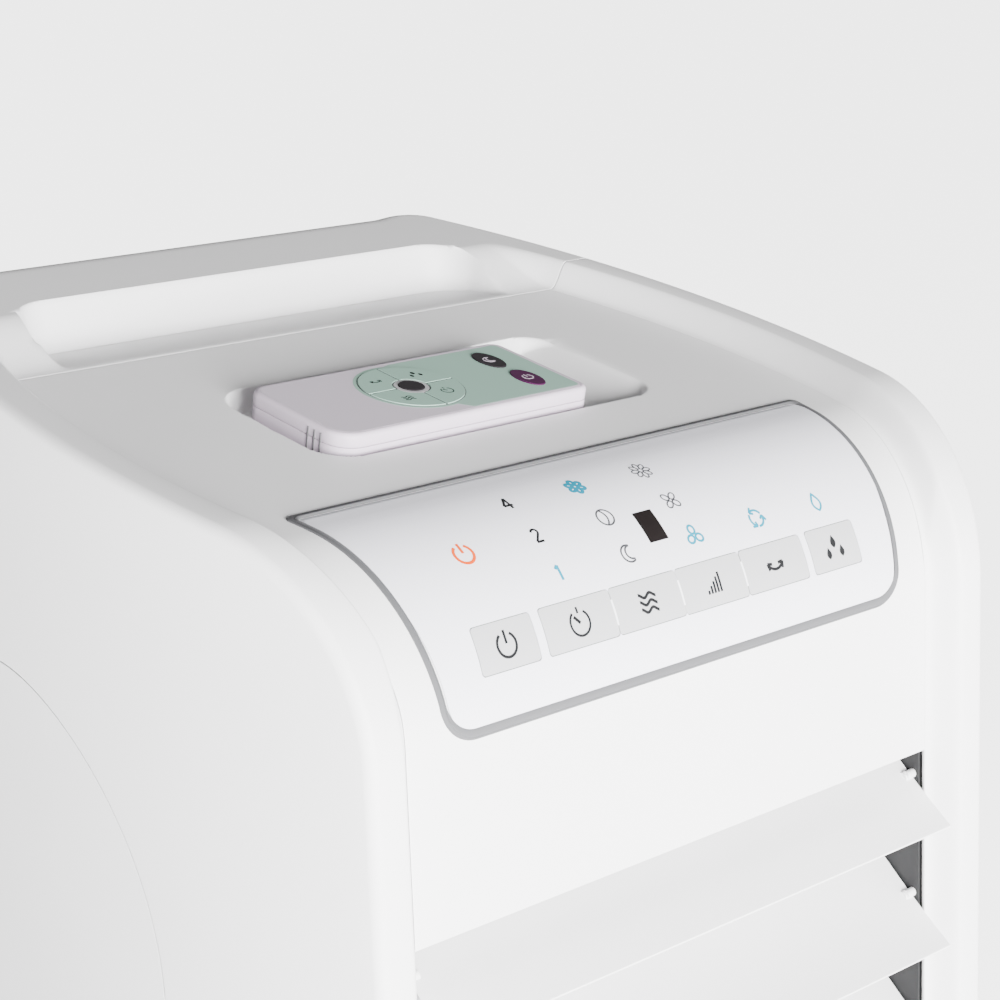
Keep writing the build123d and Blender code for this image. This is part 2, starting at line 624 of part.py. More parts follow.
def fan_wheel(x, z, radius, y0, y1, blades):
    """Squirrel-cage wheel: hub and back disc, blades, front ring."""
    wheel = tube_y(x, z, radius, y0, y0 + 2.5)
    wheel += tube_y(x, z, radius, y1 - 3, y1) - tube_y(x, z, radius - 14, y0 - 1, y1 + 1)
    for index in range(blades):
        angle = index * 360 / blades
        blade = Pos(x, (y0 + y1) / 2, z) * Rot(0, angle, 0) * Pos(radius - 7, 0, 0) * Rot(0, 28, 0)
        wheel += blade * Box(11, y1 - y0, 1.8)
    wheel += tube_y(x, z, 12, y0, y0 + 22)
    return wheel - tube_y(x, z, 3.9, y0 - 1, y1 + 1)


def scroll(x, z, radius, y0, y1, inlet):
    """Blower housing round a wheel, open to its coil at the back and to its outlet in front."""
    outer = tube_y(x, z, radius + 12, y0, y1)
    inner = tube_y(x, z, radius + 9, y0 - 1, y1 - 2.6)
    return outer - inner - tube_y(x, z, inlet, y0, y1 + 1)


def build_works():
    upper, lower = UPPER_GRILLE, LOWER_GRILLE
    add("evaporator_coil", coil(upper[0] - 6, upper[1] + 4, COIL_FRONT_Y, COIL_BACK_Y))
    add("condenser_coil", coil(lower[0] - 4, lower[1] + 12, COIL_FRONT_Y, COIL_BACK_Y))
    x, z = CONDENSER_FAN
    fans = (
        ("evaporator_fan_wheel", 0, FAN_Z, 78, 128, 190, 24),
        ("condenser_fan_wheel", x, z, 66, 176, 226, 22),
    )
    motors = []
    for name, fx, fz, radius, y0, y1, blades in fans:
        add(name, fan_wheel(fx, fz, radius, y0, y1, blades) + tube_y(fx, fz, 4.0, y0 - 2, y0 + 24))
        motors.append(tube_y(fx, fz, 34, y0 - 44, y0 - 4) + tube_y(fx, fz, 12, y0 - 4, y0 - 2.4))
    add("fan_motors", *motors)
    housings = [scroll(0, FAN_Z, 78, 62.4, 200, 62), scroll(x, z, 66, 122, 236, 52)]
    add("blower_housings", *housings)
    deck = plan(SIDE_HALF - 8, SIDE_RADIUS, 8, BACK_Y - 8, 34)
    deck &= box(-200, 200, 0, BACK_Y, DECK_Z, DECK_Z + 3)
    deck -= box(-200, 200, 0, 66, DECK_Z - 5, DECK_Z + 9)
    deck -= tube_y(0, HOSE_Z, HOSE_RADIUS + 6, 150, BACK_Y)
    deck -= tube_z(*PIPE_RISER, 6, DECK_Z - 5, DECK_Z + 9)
    for x0, x1 in ((-118, -76), (76, 118)):
        deck += box(x0, x1, COIL_FRONT_Y - 6, COIL_BACK_Y + 3, DECK_Z + 2, DECK_Z + 14)
        deck -= box(x0 + 3, x1 - 3, COIL_FRONT_Y - 3, COIL_BACK_Y, DECK_Z + 4, DECK_Z + 20)
    add("divider_deck", deck)
    cx, cy = COMPRESSOR
    body = tube_z(cx, cy, 46, BASE_Z + 16, BASE_Z + 176)
    body = fillet(body.edges().filter_by(GeomType.CIRCLE), 16)
    feet = [box(cx - 52, cx + 52, cy - 9, cy + 9, BASE_Z + 14, BASE_Z + 18)]
    accumulator = tube_z(cx + 62, cy - 14, 14, BASE_Z + 60, BASE_Z + 150)
    strap = box(cx + 30, cx + 60, cy - 18, cy - 10, BASE_Z + 100, BASE_Z + 108)
    add("compressor", body + feet + accumulator + strap)
    route = FilletPolyline(
        (cx - 20, cy + 10, BASE_Z + 176), (cx - 20, cy + 10, 232), (-125, 170, 232),
        (-125, COIL_FRONT_Y - 2, 232),
        radius=14,
    )
    pipe_out = sweep(Plane(origin=route @ 0, z_dir=route % 0) * Circle(3.2), path=route)
    route = FilletPolyline(
        (cx + 62, cy - 14, BASE_Z + 150), (cx + 62, cy - 14, 250), (*PIPE_RISER, 250),
        (*PIPE_RISER, 420), (PIPE_RISER[0], COIL_FRONT_Y - 2, 420), radius=14,
    )
    pipe_back = sweep(Plane(origin=route @ 0, z_dir=route % 0) * Circle(3.8), path=route)
    add("refrigerant_pipes", pipe_out, pipe_back)
    box_body = box(60, 140, 76, 112, 60, 150) - box(62, 138, 78, 110, 62, 152)
    add("electrics_box", box_body + box(60, 140, 76, 112, 150.2, 152.2))


build_casing()
build_control_panel()
build_louvres()
build_outlet_duct()
build_remote()
build_back()
build_base()
build_works()

os.makedirs("parts", exist_ok=True)
for node, shape in PARTS.items():
    export_step(shape, f"parts/{node}.step")
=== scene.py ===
import json
import math

import bmesh
import bpy
import numpy as np
from mathutils import Euler, Matrix


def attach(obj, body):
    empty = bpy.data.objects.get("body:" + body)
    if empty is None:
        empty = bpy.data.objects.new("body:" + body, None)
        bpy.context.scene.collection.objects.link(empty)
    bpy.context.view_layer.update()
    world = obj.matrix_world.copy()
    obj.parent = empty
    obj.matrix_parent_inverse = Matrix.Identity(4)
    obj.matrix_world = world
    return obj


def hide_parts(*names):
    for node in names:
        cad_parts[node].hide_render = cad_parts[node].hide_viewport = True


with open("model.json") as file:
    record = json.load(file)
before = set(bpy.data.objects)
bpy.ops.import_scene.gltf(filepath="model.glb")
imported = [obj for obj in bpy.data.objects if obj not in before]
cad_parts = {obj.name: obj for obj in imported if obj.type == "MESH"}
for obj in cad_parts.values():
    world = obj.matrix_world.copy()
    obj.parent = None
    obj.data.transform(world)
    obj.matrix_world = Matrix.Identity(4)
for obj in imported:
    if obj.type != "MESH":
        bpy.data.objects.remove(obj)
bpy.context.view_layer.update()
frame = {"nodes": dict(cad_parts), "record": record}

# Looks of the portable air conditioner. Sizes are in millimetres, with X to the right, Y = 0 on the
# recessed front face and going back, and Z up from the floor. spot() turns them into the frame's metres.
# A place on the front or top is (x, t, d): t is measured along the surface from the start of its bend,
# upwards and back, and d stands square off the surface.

# ---- driving dimensions, as in the CAD part ----
MM = 0.001
MID_DEPTH = 167.46                         # depth of the frame's Y = 0 behind the recessed face
FACE_HALF, FACE_RADIUS = 165.9, 390.0      # recessed cover: half width and plan radius of its edges
SIDE_HALF, SIDE_RADIUS = 191.3, 480.0      # casing sides: the same
WIDEST_Y = 121.0                           # depth at which cover and casing are widest
STRAIGHT_Y = 1.0                           # the cover's side edges run straight in front of this
BACK_Y, BACK_CORNER = 336.0, 36.0
RIM = 12.0                                 # how far the rims stand proud of the cover
BEND_Z, BEND_RADIUS = 585.0, 72.6
BEND_ANGLE = math.radians(77.5)
BEND_LENGTH = BEND_RADIUS * BEND_ANGLE
SKIRT_Z = 32.0                             # lower edge of the casing
SEAM_Y = 229.8                             # seam between front cover and rear top cover
COVER_GAP, SEAM_GAP = 0.15, 0.5            # beside the cover, and between the other mouldings
REAR_SEAM_TOP, REAR_SEAM_FRONT, REAR_SEAM_RADIUS = 587.0, 96.2, 110.0
COVER_BOTTOM = 510.7
SKIN = 2.4                                 # wall thickness of the casing skins
SOFT_EDGE = 0.3                            # rounding where a skin ends at a seam
CREST_RADIUS = 4.0                         # outer corner of the rims
REAR_RADIUS = 21.0                         # the top's rear edge
RAMP_END_Y = 268.0                         # the top rises from the seam to rim height up to here
DISH_HALF, DISH_WALL_Y, DISH_CORNER, DISH_DEPTH = 126.0, 277.0, 20.0, 10.0
POCKET = (-89.0, 96.0, 48.8, 129.0)        # left, right, near, far
POCKET_CORNER, POCKET_DEPTH = 18.0, 10.0
SCOOP_START = 72.0                         # the pocket's floor rises from here to its right end
PANEL_BOTTOM_HALF, PANEL_TOP_HALF = 127.5, 142.5
PANEL_START, PANEL_END, PANEL_CORNER = -2.9, 111.0, 16.0
PANEL_BORDER = 6.0                         # the cover's skin reaches this far under the panel
LENS_D = 0.6                               # height of the panel's face above the cover
LAMP_ROWS = (47.6, 65.0, 83.9)
LAMP_PITCH = 36.9
KEY_LOW, KEY_HIGH, KEY_ROW = 18.4, 36.5, 27.3
DIVIDER_PITCH, DIVIDER_HALF = 36.75, 5.0
REMOTE = (-83.4, 54.4, 51.6, 113.6)        # left, right, near, far
REMOTE_TOP, REMOTE_BASE, REMOTE_SPLIT = 7.5, -9.5, 1.5
REMOTE_CORNERS = (12.0, 6.0, 6.0, 8.0)     # near left, near right, far right, far left
RING_X, RING_V, RING_RADIUS = -19.2, 84.7, 22.5
OVAL_KEY = (5.6, 9.6)                      # half width and half length


# ---- places ----

def ease(value):
    value = np.clip(value, 0, 1)
    return value * value * (3 - 2 * value)


def spot(x, y, z):
    """Points in metres in the shared frame."""
    x, y, z = np.broadcast_arrays(x, y, z)
    return np.stack([x, y - MID_DEPTH, z], -1) * MM


def along(t, d=0.0):
    """Depth and height of places on the bent front."""
    t, d = np.broadcast_arrays(np.asarray(t, float), np.asarray(d, float))
    angle = np.clip(t / BEND_RADIUS, 0, BEND_ANGLE)
    past, before = np.clip(t - BEND_LENGTH, 0, None), np.clip(t, None, 0)
    y = BEND_RADIUS * (1 - np.cos(angle)) + past * math.sin(BEND_ANGLE) - d * np.cos(angle)
    z = BEND_Z + BEND_RADIUS * np.sin(angle) + before + past * math.cos(BEND_ANGLE) + d * np.sin(angle)
    return y, z


def front(x, t, d):
    y, z = along(t, d)
    return spot(x, y, z)


def on_slope(x, v, w):
    """A place on the sloping top: v up the slope from the end of the bend, w square to it."""
    return front(x, BEND_LENGTH + np.asarray(v, float), w)


def slope_t(y):
    """The distance t at which the slope has a given depth."""
    flat = BEND_RADIUS * (1 - math.cos(BEND_ANGLE))
    return BEND_LENGTH + (y - flat) / math.sin(BEND_ANGLE)


def slope_height(y):
    flat = BEND_RADIUS * (1 - math.cos(BEND_ANGLE))
    return BEND_Z + BEND_RADIUS * math.sin(BEND_ANGLE) + (y - flat) / math.tan(BEND_ANGLE)


def bowed(y, half, radius):
    return half - radius + np.sqrt(radius ** 2 - (y - WIDEST_Y) ** 2)


def face_half(y):
    return bowed(np.maximum(y, STRAIGHT_Y), FACE_HALF, FACE_RADIUS)


def side_half(y):
    return bowed(y, SIDE_HALF, SIDE_RADIUS)


CORNER_Y = BACK_Y - BACK_CORNER
CORNER_X = SIDE_HALF - SIDE_RADIUS + math.sqrt((SIDE_RADIUS - BACK_CORNER) ** 2 - (CORNER_Y - WIDEST_Y) ** 2)
CORNER_TURN = math.asin((CORNER_Y - WIDEST_Y) / (SIDE_RADIUS - BACK_CORNER))


def outline_half(y):
    """Half width of the casing's outline, rear corners included."""
    sine = np.clip((y - CORNER_Y) / BACK_CORNER, -1, 1)
    corner = CORNER_X + BACK_CORNER * np.sqrt(1 - sine ** 2)
    return np.where(sine < math.sin(CORNER_TURN), side_half(np.minimum(y, CORNER_Y + 20)), corner)


def spaced(*stops):
    """Values through stops given as value, step, value, step, ..., value."""
    values, steps = stops[0::2], stops[1::2]
    runs = [
        np.linspace(a, b, max(1, round(abs(b - a) / step)), endpoint=False)
        for a, b, step in zip(values, values[1:], steps)
    ]
    return np.concatenate(runs + [[values[-1]]])


def round_off(distance, radius):
    """How far a rounded edge lies below the surface at a distance in from the edge."""
    inward = np.clip(radius - distance, 0, radius)
    return radius - np.sqrt(radius ** 2 - inward ** 2)


def box_distance(x, v, limits, corner):
    """Distance outside a rounded rectangle; negative inside."""
    left, right, near, far = limits
    qx = np.abs(x - (left + right) / 2) - (right - left) / 2 + corner
    qv = np.abs(v - (near + far) / 2) - (far - near) / 2 + corner
    return np.hypot(np.maximum(qx, 0), np.maximum(qv, 0)) + np.minimum(np.maximum(qx, qv), 0) - corner


# ---- materials ----

def finish(name, colour, roughness, metal=0.0, grain=900.0, relief=0.00004, mottle=0.03, coat=0.0,
           glow=0.0, weave=None, shine=0.5):
    """A moulded, painted or metal surface: colour mottle, uneven gloss and a fine grain in relief."""
    made = bpy.data.materials.new(name)
    made.use_nodes = True
    nodes, links = made.node_tree.nodes, made.node_tree.links
    shader = nodes["Principled BSDF"]
    shader.inputs["Metallic"].default_value = metal
    shader.inputs["Specular IOR Level"].default_value = shine
    shader.inputs["Coat Weight"].default_value = coat
    shader.inputs["Coat Roughness"].default_value = 0.12
    if glow:
        shader.inputs["Emission Color"].default_value = (*colour, 1)
        shader.inputs["Emission Strength"].default_value = glow
    place = nodes.new("ShaderNodeTexCoord")

    broad = nodes.new("ShaderNodeTexNoise")
    broad.inputs["Scale"].default_value = 14
    broad.inputs["Detail"].default_value = 5
    links.new(place.outputs["Object"], broad.inputs["Vector"])
    tint = nodes.new("ShaderNodeMix")
    tint.data_type = "RGBA"
    low = [c * (1 - mottle) for c in colour]
    high = [min(1, c * (1 + mottle)) for c in colour]
    tint.inputs["A"].default_value = (*low, 1)
    tint.inputs["B"].default_value = (*high, 1)
    links.new(broad.outputs["Fac"], tint.inputs["Factor"])
    links.new(tint.outputs["Result"], shader.inputs["Base Color"])

    handling = nodes.new("ShaderNodeTexNoise")
    handling.inputs["Scale"].default_value = 45
    handling.inputs["Detail"].default_value = 3
    links.new(place.outputs["Object"], handling.inputs["Vector"])
    gloss = nodes.new("ShaderNodeMapRange")
    gloss.inputs["To Min"].default_value = roughness * 0.88
    gloss.inputs["To Max"].default_value = min(1, roughness * 1.14)
    links.new(handling.outputs["Fac"], gloss.inputs["Value"])
    links.new(gloss.outputs["Result"], shader.inputs["Roughness"])

    if weave:
        texture = nodes.new("ShaderNodeTexWave")
        texture.inputs["Scale"].default_value = weave
        texture.inputs["Distortion"].default_value = 0.4
    else:
        texture = nodes.new("ShaderNodeTexNoise")
        texture.inputs["Scale"].default_value = grain
        texture.inputs["Detail"].default_value = 2
    links.new(place.outputs["Object"], texture.inputs["Vector"])
    bump = nodes.new("ShaderNodeBump")
    bump.inputs["Strength"].default_value = 0.5
    bump.inputs["Distance"].default_value = relief
    links.new(texture.outputs["Fac"], bump.inputs["Height"])
    links.new(bump.outputs["Normal"], shader.inputs["Normal"])
    return made


FINISHES = {
    "casing_white": finish("casing_white", (0.80, 0.795, 0.80), 0.5, shine=0.35),
    "louvre_white": finish("louvre_white", (0.80, 0.795, 0.80), 0.48),
    "panel_lens": finish(
        "panel_lens", (0.78, 0.775, 0.83), 0.3, coat=0.2, shine=0.4, relief=0.00001, mottle=0.01
    ),
    "bezel_gray": finish("bezel_gray", (0.10, 0.10, 0.105), 0.5, grain=1500, shine=0.3),
    "key_gray": finish("key_gray", (0.43, 0.43, 0.44), 0.5, relief=0.00001, shine=0.3),
    "duct_gray": finish("duct_gray", (0.03, 0.03, 0.031), 0.7, shine=0.2),
    "mechanism_gray": finish("mechanism_gray", (0.35, 0.35, 0.36), 0.5),
    "remote_lilac": finish("remote_lilac", (0.56, 0.49, 0.565), 0.5, shine=0.25),
    "remote_mint": finish("remote_mint", (0.30, 0.46, 0.385), 0.6, relief=0.00001, shine=0.15),
    "remote_dark_key": finish("remote_dark_key", (0.02, 0.017, 0.02), 0.5, mottle=0.1, shine=0.2),
    "remote_purple_key": finish("remote_purple_key", (0.06, 0.01, 0.05), 0.5, mottle=0.1, shine=0.2),
    "battery_skin": finish("battery_skin", (0.45, 0.30, 0.07), 0.3, metal=0.6),
    "board_green": finish("board_green", (0.03, 0.16, 0.06), 0.4, coat=0.3, mottle=0.15),
    "filter_net": finish("filter_net", (0.24, 0.25, 0.27), 0.8, weave=420, relief=0.0004),
    "aluminium_fins": finish(
        "aluminium_fins", (0.62, 0.63, 0.65), 0.35, metal=0.9, weave=160, relief=0.0005
    ),
    "copper": finish("copper", (0.72, 0.36, 0.20), 0.3, metal=1.0, mottle=0.12),
    "compressor_black": finish("compressor_black", (0.02, 0.02, 0.022), 0.4, grain=300, relief=0.0002),
    "motor_steel": finish("motor_steel", (0.45, 0.46, 0.47), 0.35, metal=0.9, mottle=0.08),
    "fan_plastic": finish("fan_plastic", (0.30, 0.31, 0.32), 0.55),
    "foam_white": finish("foam_white", (0.72, 0.72, 0.70), 0.85, grain=260, relief=0.0006),
    "base_gray": finish("base_gray", (0.42, 0.42, 0.43), 0.55),
    "caster_gray": finish("caster_gray", (0.16, 0.16, 0.165), 0.5),
    "caster_tread": finish("caster_tread", (0.05, 0.05, 0.052), 0.7, grain=400, relief=0.0002),
    "plug_rubber": finish("plug_rubber", (0.10, 0.10, 0.10), 0.75, grain=500, relief=0.0001),
}
INK = {
    "black": finish("ink_black", (0.012, 0.012, 0.013), 0.7, shine=0.1),
    "gray": finish("ink_gray", (0.05, 0.05, 0.055), 0.7, shine=0.1),
    "cyan": finish("lamp_cyan", (0.002, 0.20, 0.30), 0.7, shine=0.1),
    "orange": finish("lamp_orange", (0.62, 0.07, 0.004), 0.7, shine=0.1),
    "white": finish("ink_white", (0.85, 0.85, 0.87), 0.35),
    "glass": finish("display_glass", (0.005, 0.003, 0.003), 0.5, shine=0.3, relief=0.00001, mottle=0.2),
    # painted shade: this dark ink stands for the shade in gaps, grooves and slots, not for a dark material
    "dark": finish("painted_gap_shade", (0.085, 0.085, 0.09), 0.5),
    "rim": finish("remote_rim", (0.60, 0.54, 0.61), 0.5, shine=0.25),
}

# Every CAD node starts with its slot's finish. Replaced nodes are hidden later by their pieces.
for part in frame["record"]["subparts"]:
    skin = frame["nodes"][part["node"]].data.materials
    skin.clear()
    skin.append(FINISHES[part["material_slot"]])


# ---- meshes ----

def piece(name, points, faces, material, body="casing", sharp=35, thickness=0.0, stands_for=()):
    """A mesh piece that rides on a body. thickness turns a sheet into a closed skin."""
    mesh = bpy.data.meshes.new(name)
    mesh.from_pydata(np.asarray(points).reshape(-1, 3).tolist(), [], [list(map(int, f)) for f in faces])
    soup = bmesh.new()
    soup.from_mesh(mesh)
    bmesh.ops.remove_doubles(soup, verts=soup.verts, dist=0.000002)
    loose = [v for v in soup.verts if not v.link_faces]
    bmesh.ops.delete(soup, geom=loose, context="VERTS")
    if not thickness:
        bmesh.ops.recalc_face_normals(soup, faces=soup.faces)
    soup.to_mesh(mesh)
    soup.free()
    mesh.shade_smooth()
    mesh.set_sharp_from_angle(angle=math.radians(sharp))
    made = bpy.data.objects.new(name, mesh)
    bpy.context.scene.collection.objects.link(made)
    mesh.materials.append(material)
    if thickness:
        skin = made.modifiers.new("skin", "SOLIDIFY")
        skin.thickness = thickness * MM
        skin.offset = -1
    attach(made, body)
    if stands_for:
        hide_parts(*stands_for)
    return made


def grid_faces(rows, columns, wrap=False, flip=False):
    """Quads of a grid of points; wrap joins the last column to the first."""
    index = np.arange(rows * columns).reshape(rows, columns)
    if wrap:
        index = np.hstack([index, index[:, :1]])
    quads = np.stack([index[:-1, :-1], index[:-1, 1:], index[1:, 1:], index[1:, :-1]], -1).reshape(-1, 4)
    return quads[:, ::-1] if flip else quads


# distances from a free edge at which a skin has a row of points
EDGE_LINES = np.array([0, 0.03, 0.1, 0.2, SOFT_EDGE, 1.6])


# ---- front cover, with its pocket for the remote control ----

def panel_half(t, inset=0.0):
    """Half width of the panel at t: its sides lean outwards towards the top."""
    share = (t - PANEL_START) / (PANEL_END - PANEL_START)
    return PANEL_BOTTOM_HALF + (PANEL_TOP_HALF - PANEL_BOTTOM_HALF) * share - inset


def pocket_depth(x, t):
    """Depth of the remote control's pocket, whose floor rises to nothing at its right end."""
    distance = box_distance(x, t - BEND_LENGTH, POCKET, POCKET_CORNER)
    scoop = np.cos(np.pi / 2 * np.clip((x - SCOOP_START) / (POCKET[1] - SCOOP_START), 0, 1))
    return POCKET_DEPTH * ease((1.2 - distance) / 3.2) * scoop


def build_front_cover():
    across = spaced(-160, 5, -96, 0.8, -68, 2.5, 50, 2, 66, 0.8, 94, 5, 160) / 160
    pocket_near, pocket_far = BEND_LENGTH + POCKET[2], BEND_LENGTH + POCKET[3]
    low, high = COVER_BOTTOM - BEND_Z, slope_t(SEAM_Y) - SEAM_GAP / 2
    t = spaced(low + 2, 8, 0, 2.5, BEND_LENGTH, 6, pocket_near - 6, 0.8, pocket_near + 19, 2.5,
               pocket_far - 19, 0.8, pocket_far + 5, 5, high - 2)
    t = np.concatenate([low + EDGE_LINES, t, (high - EDGE_LINES)[::-1]])
    half = face_half(along(t)[0]) - COVER_GAP
    left = [-half + s for s in EDGE_LINES]
    right = [half - s for s in EDGE_LINES[::-1]]
    middle = [(half - 2) * u for u in across[1:-1]]
    x = np.stack(left + middle + right, 1)
    t = np.repeat(t[:, None], x.shape[1], 1)
    sides = half[:, None] - np.abs(x)
    ends = np.minimum(t - low, high - t)
    d = -pocket_depth(x, t) - round_off(np.minimum(sides, ends), SOFT_EDGE)
    faces = grid_faces(*x.shape)
    mx, mt = (np.take(a.ravel(), faces).mean(1) for a in (x, t))
    under = (np.abs(mx) < panel_half(mt, PANEL_BORDER)) & (mt > PANEL_START + PANEL_BORDER)
    under &= mt < PANEL_END - 4
    corner_x = panel_half(mt, PANEL_BORDER) - PANEL_CORNER
    corner_t = PANEL_START + PANEL_BORDER + PANEL_CORNER
    outside = (np.abs(mx) > corner_x) & (mt < corner_t)
    outside &= np.hypot(np.abs(mx) - corner_x, mt - corner_t) > PANEL_CORNER
    piece("front_cover_skin", front(x, t, d), faces[~under | outside], FINISHES["casing_white"],
          thickness=SKIN, stands_for=["front_cover"])


# ---- side panels with their raised rims ----

def ramp_section(count=14):
    """Inner slope of a rim, as distance out from the cover's edge and height: an S-shaped Bezier curve."""
    s = np.linspace(0, 1, count)
    ends = np.array([(0.45, 0.0), (5.0, 0.0), (7.6, RIM), (11.6, RIM)])
    weights = np.stack([(1 - s) ** 3, 3 * s * (1 - s) ** 2, 3 * s * s * (1 - s), s ** 3], 1)
    return (weights @ ends).T


RAMP_OUT, RAMP_UP = ramp_section()


def seam_point(t, first_t, last_t):
    """The side panel's rear edge: upright, then a quarter circle up to the seam across the top."""
    radius, front_y = REAR_SEAM_RADIUS + SEAM_GAP, REAR_SEAM_FRONT - SEAM_GAP
    centre_y, centre_z = REAR_SEAM_FRONT + REAR_SEAM_RADIUS, REAR_SEAM_TOP - REAR_SEAM_RADIUS
    turn = math.pi - math.acos((SEAM_Y - centre_y) / radius)
    share = np.clip(t / last_t, 0, 1)
    angle = math.pi - turn * share
    y = centre_y + radius * np.cos(angle)
    upright = SKIRT_Z + (centre_z - SKIRT_Z) * (t - first_t) / (0 - first_t)
    z = np.where(t < 0, upright, centre_z + radius * np.sin(angle))
    return np.where(t < 0, front_y, y), z


def build_side_panel(name, side):
    first, last = SKIRT_Z - BEND_Z, slope_t(SEAM_Y) - SEAM_GAP / 2
    t = spaced(first, 30, -30, 10, 0, 2.2, BEND_LENGTH, 9, last - 2)
    t = np.concatenate([t, (last - EDGE_LINES)[::-1]])
    ends = round_off(last - t, SOFT_EDGE)
    columns = []

    def settle(d):
        """Distances t moved so that the last row stays in the seam's upright plane."""
        late = np.clip((t - BEND_LENGTH) / (last - BEND_LENGTH), 0, 1)
        return t + late * d / math.tan(BEND_ANGLE)

    lip = [(0.0, -1.4), (0.0, -0.6), (0.1, -0.22), (0.25, -0.05)]
    for out, up in lip + list(zip(RAMP_OUT, RAMP_UP)):
        y, z = along(settle(up), up - ends)
        columns.append(spot(face_half(y) + out, y, z))
    for angle in np.radians(np.linspace(0, 90, 10)):
        inset = CREST_RADIUS * (1 - math.sin(angle))
        up = RIM - CREST_RADIUS + CREST_RADIUS * math.cos(angle)
        y, z = along(settle(up), up - ends * math.cos(angle))
        columns.append(spot(side_half(y) - inset - ends * math.sin(angle), y, z))
    up = RIM - CREST_RADIUS
    y0, z0 = along(settle(up), up)
    y1, z1 = seam_point(t, first, last)
    length = np.hypot(y1 - y0, z1 - z0)
    shares = [np.full_like(t, s) for s in np.linspace(0, 0.94, 18)[1:]]
    shares += [1 - s / length for s in EDGE_LINES[::-1]]
    for share in shares:
        y, z = y0 + (y1 - y0) * share, z0 + (z1 - z0) * share
        drop = round_off((1 - share) * length, SOFT_EDGE)
        columns.append(spot(side_half(y) - np.maximum(drop, ends), y, z))
    points = np.stack(columns, 1)
    points[..., 0] *= side
    piece(f"{name}_skin", points, grid_faces(*points.shape[:2], flip=side < 0), FINISHES["casing_white"],
          thickness=SKIN, stands_for=[name])


# ---- rear top cover with the handle recess ----

def rear_height(x, y):
    """Height of the rear top cover's skin."""
    reach = np.abs(x)
    side = np.interp(reach - face_half(y), RAMP_OUT, RAMP_UP) / RIM
    back = ease((y - SEAM_Y - 1.5) / (RAMP_END_Y - SEAM_Y - 1.5))
    z = slope_height(y) + RIM / math.sin(BEND_ANGLE) * (1 - (1 - side) * (1 - back))

    distance = box_distance(x, y, (-DISH_HALF, DISH_HALF, 100, DISH_WALL_Y), DISH_CORNER)
    fall = np.clip((y - SEAM_Y - 3) / (DISH_WALL_Y - SEAM_Y - 3), 0, 1)
    inside = ease((1.5 - distance) / 5.0)
    z = z * (1 - inside) + (slope_height(y) - DISH_DEPTH * fall) * inside
    z -= 1.8 * np.exp(-((distance + 4.4) / 0.7) ** 2) * ease((y - DISH_WALL_Y + 20) / 10)

    about_corner = np.arctan2(y - CORNER_Y, reach - CORNER_X)
    about_side = np.arctan2(y - WIDEST_Y, reach - SIDE_HALF + SIDE_RADIUS)
    in_corner = (about_corner > CORNER_TURN) & (reach > CORNER_X)
    in_back = (reach <= CORNER_X) & (y > CORNER_Y)
    edge = SIDE_RADIUS - np.hypot(reach - SIDE_HALF + SIDE_RADIUS, y - WIDEST_Y)
    edge = np.where(in_corner, BACK_CORNER - np.hypot(reach - CORNER_X, y - CORNER_Y), edge)
    edge = np.where(in_back, BACK_Y - y, edge)
    turn = np.where(in_corner, about_corner, np.where(in_back, math.pi / 2, about_side))
    turn = np.clip((turn - CORNER_TURN) / (math.pi / 2 - CORNER_TURN), 0, 1)
    radius = CREST_RADIUS + (REAR_RADIUS - CREST_RADIUS) * ease(turn)
    z -= round_off(np.maximum(edge, 0), radius) / math.sin(BEND_ANGLE)
    return z


def build_rear_top():
    wide = outline_half(SEAM_Y)
    rounding = CREST_RADIUS * (1 - np.sin(np.radians(np.linspace(90, 0, 10))))
    half_lines = spaced(0, 7, DISH_HALF - 24, 0.9, DISH_HALF + 4, 3, 142, 1.2, 170, 1.3, wide - 5)
    half_lines = np.concatenate([half_lines, (wide - rounding)[::-1]])
    across = np.concatenate([-half_lines[:0:-1], half_lines]) / wide
    start = SEAM_Y + SEAM_GAP / 2
    turns = np.radians(np.linspace(10, 90, 20))
    y = np.concatenate([
        start + EDGE_LINES, spaced(start + 2.5, 2, DISH_WALL_Y - 10, 0.5, DISH_WALL_Y + 3, 4, CORNER_Y + 3),
        CORNER_Y + BACK_CORNER * np.sin(turns),
    ])
    x = outline_half(y)[:, None] * across[None, :]
    y = np.repeat(y[:, None], x.shape[1], 1)
    z = rear_height(x, y) - round_off(y - start, SOFT_EDGE)
    top = spot(x, y, z)
    rows, columns = x.shape
    index = np.arange(rows * columns).reshape(rows, columns)
    rim = np.concatenate([index[:-1, 0], index[-1, :], index[-2::-1, -1]])
    loop = top.reshape(-1, 3)[rim]
    foot = REAR_SEAM_TOP + SEAM_GAP
    heading = np.gradient(loop[:, :2], axis=0)
    outward = np.stack([-heading[:, 1], heading[:, 0]], 1)
    outward /= np.linalg.norm(outward, axis=1)[:, None]
    walls, faces = [], [grid_faces(rows, columns)]
    levels = list(np.linspace(1, 0, 7)[1:-1]) + [None] * len(EDGE_LINES)
    marks = iter(EDGE_LINES[::-1])
    above = rim
    count = rows * columns
    for level in levels:
        ring = loop.copy()
        if level is None:
            s = next(marks)
            ring[:, 2] = (foot + s) * MM
            ring[:, :2] -= outward * round_off(s, SOFT_EDGE) * MM
        else:
            ring[:, 2] = foot * MM + (loop[:, 2] - foot * MM) * level
        walls.append(ring)
        below = count + np.arange(len(ring))
        faces.append(np.stack([above[:-1], above[1:], below[1:], below[:-1]], 1))
        above, count = below, count + len(ring)
    points = np.concatenate([top.reshape(-1, 3)] + walls)
    piece("rear_top_skin", points, np.concatenate(faces), FINISHES["casing_white"],
          thickness=SKIN, stands_for=["rear_top_cover"])


# ---- control panel ----

